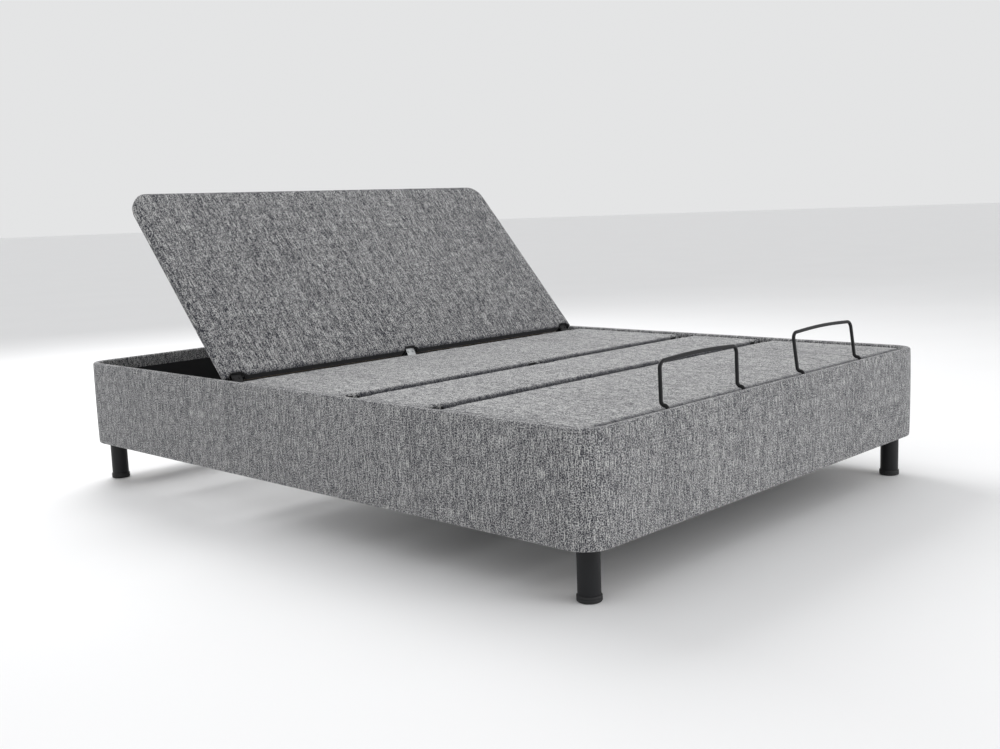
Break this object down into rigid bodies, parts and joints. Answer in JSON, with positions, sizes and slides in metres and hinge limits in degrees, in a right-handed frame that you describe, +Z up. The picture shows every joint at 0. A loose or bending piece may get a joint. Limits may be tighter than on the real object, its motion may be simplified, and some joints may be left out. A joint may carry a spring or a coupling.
{
  "type": "adjustable bed base",
  "caption": "Upholstered box bed base on legs, with a deck of hinged sections that electric actuators raise and bars that hold the mattress.",
  "frame": {"origin": "centre of the footprint, on the floor", "axes": "+Z up, +Y to the head end along the bed's length, +X across the bed"},
  "size_m": [1.5, 2.03, 0.8896],
  "materials": {
    "board": "raw plywood",
    "cover_fabric": "grey and charcoal tweed",
    "deck_fabric": "grey and charcoal tweed",
    "leg_paint": "satin black",
    "foot_cap": "black",
    "frame_paint": "black powder coat",
    "hinge_black": "black",
    "zinc_plate": "zinc plated",
    "bright_steel": "turned steel",
    "nylon": "natural nylon",
    "box_plastic": "fine textured",
    "lead_sheath": "black"
  },
  "bodies": {
    "base": {"side_rails": "board", "end_rails": "board", "rail_corners": "board", "rail_cover": "cover_fabric", "corner_blocks": "board", "legs": "leg_paint", "leg_caps": "foot_cap", "frame_side_tubes": "frame_paint", "cross_tubes": "frame_paint", "rail_brackets": "frame_paint", "seat_risers": "frame_paint", "seat_bearers": "frame_paint", "seat_board": "board", "seat_pad": "deck_fabric", "seat_hinge_leaves": "hinge_black", "seat_hinge_pins": "bright_steel", "lift_bearing_plates": "frame_paint", "actuator_brackets": "frame_paint", "actuator_bracket_pins": "bright_steel", "control_box": "box_plastic", "power_supply": "box_plastic", "power_lead": "lead_sheath", "motor_leads": "lead_sheath"},
    "head": {"head_board": "board", "head_pad": "deck_fabric", "head_hinge_leaves": "zinc_plate", "head_tracks": "zinc_plate"},
    "head_lift": {"head_lift_tube": "frame_paint", "head_lift_arms": "frame_paint", "head_crank": "frame_paint", "head_crank_pin": "bright_steel"},
    "head_roller_left": {"head_roller_left": "nylon"},
    "head_roller_right": {"head_roller_right": "nylon"},
    "thigh": {"thigh_board": "board", "thigh_pad": "deck_fabric", "thigh_hinge_leaves": "hinge_black", "thigh_tracks": "zinc_plate", "knee_hinge_leaves": "hinge_black", "knee_hinge_pins": "bright_steel"},
    "foot": {"foot_board": "board", "foot_pad": "deck_fabric", "foot_hinge_leaves": "hinge_black", "foot_roller_brackets": "frame_paint", "retainer_bar_left": "leg_paint", "retainer_bar_right": "leg_paint"},
    "thigh_lift": {"thigh_lift_tube": "frame_paint", "thigh_lift_arms": "frame_paint", "thigh_crank": "frame_paint", "thigh_crank_pin": "bright_steel"},
    "thigh_roller_left": {"thigh_roller_left": "nylon"},
    "thigh_roller_right": {"thigh_roller_right": "nylon"},
    "foot_roller_left": {"foot_roller_left": "nylon"},
    "foot_roller_right": {"foot_roller_right": "nylon"},
    "head_actuator": {"head_actuator_housing": "box_plastic", "head_actuator_tube": "frame_paint"},
    "head_rod": {"head_actuator_rod": "bright_steel"},
    "thigh_actuator": {"thigh_actuator_housing": "box_plastic", "thigh_actuator_tube": "frame_paint"},
    "thigh_rod": {"thigh_actuator_rod": "bright_steel"}
  },
  "joints": [
    {"name": "head_tilt", "type": "hinge", "parent": "base", "child": "head", "pos_m": [0, 0.263, 0.347], "axis": [1, 0, 0], "range_deg": [-48.5, 11.5]},
    {"name": "head_lift_turn", "type": "hinge", "parent": "base", "child": "head_lift", "pos_m": [0, 0.263, 0.267], "axis": [1, 0, 0], "range_deg": [-45.46, 10.82]},
    {"name": "head_actuator_swing", "type": "hinge", "parent": "base", "child": "head_actuator", "pos_m": [-0.09, -0.304, 0.19], "axis": [1, 0, 0], "range_deg": [-0.18941, 0.63796]},
    {"name": "head_rod_extend", "type": "slide", "parent": "head_actuator", "child": "head_rod", "axis": [0, 1, -0.0072], "range_m": [-0.06856, 0.01649]},
    {"name": "thigh_tilt", "type": "hinge", "parent": "base", "child": "thigh", "pos_m": [0, -0.236, 0.347], "axis": [-1, 0, 0], "range_deg": [0, 40]},
    {"name": "knee_fold", "type": "hinge", "parent": "thigh", "child": "foot", "pos_m": [0, -0.533, 0.347], "axis": [1, 0, 0], "range_deg": [0, 68.02]},
    {"name": "thigh_lift_turn", "type": "hinge", "parent": "base", "child": "thigh_lift", "pos_m": [0, -0.236, 0.267], "axis": [-1, 0, 0], "range_deg": [0, 35.21]},
    {"name": "thigh_actuator_swing", "type": "hinge", "parent": "base", "child": "thigh_actuator", "pos_m": [0.09, 0.331, 0.19], "axis": [-1, 0, 0], "range_deg": [-0.45214, 0]},
    {"name": "thigh_rod_extend", "type": "slide", "parent": "thigh_actuator", "child": "thigh_rod", "axis": [0, -0.9999, -0.0115], "range_m": [0, 0.05453]},
    {"name": "head_roller_left_spin", "type": "hinge", "parent": "head_lift", "child": "head_roller_left", "pos_m": [-0.32, 0.64908, 0.72628], "axis": [1, 0, 0], "continuous": true},
    {"name": "head_roller_right_spin", "type": "hinge", "parent": "head_lift", "child": "head_roller_right", "pos_m": [0.32, 0.64908, 0.72628], "axis": [1, 0, 0], "continuous": true},
    {"name": "thigh_roller_left_spin", "type": "hinge", "parent": "thigh_lift", "child": "thigh_roller_left", "pos_m": [-0.32, -0.45593, 0.3145], "axis": [1, 0, 0], "continuous": true},
    {"name": "thigh_roller_right_spin", "type": "hinge", "parent": "thigh_lift", "child": "thigh_roller_right", "pos_m": [0.32, -0.45593, 0.3145], "axis": [1, 0, 0], "continuous": true},
    {"name": "foot_roller_left_spin", "type": "hinge", "parent": "foot", "child": "foot_roller_left", "pos_m": [-0.69, -0.955, 0.2872], "axis": [1, 0, 0], "continuous": true},
    {"name": "foot_roller_right_spin", "type": "hinge", "parent": "foot", "child": "foot_roller_right", "pos_m": [0.69, -0.955, 0.2872], "axis": [1, 0, 0], "continuous": true}
  ],
  "couplings": [
    {"joint": "head_lift_turn", "follows": "head_tilt", "ratio": 0.93626},
    {"joint": "head_actuator_swing", "follows": "head_tilt", "ratio": -0.012123},
    {"joint": "head_rod_extend", "follows": "head_tilt", "m_per_rad": 0.080645},
    {"joint": "knee_fold", "follows": "thigh_tilt", "ratio": 1.6991},
    {"joint": "thigh_lift_turn", "follows": "thigh_tilt", "ratio": 0.87906},
    {"joint": "thigh_actuator_swing", "follows": "thigh_tilt", "ratio": -0.010053},
    {"joint": "thigh_rod_extend", "follows": "thigh_tilt", "m_per_rad": 0.077677}
  ]
}
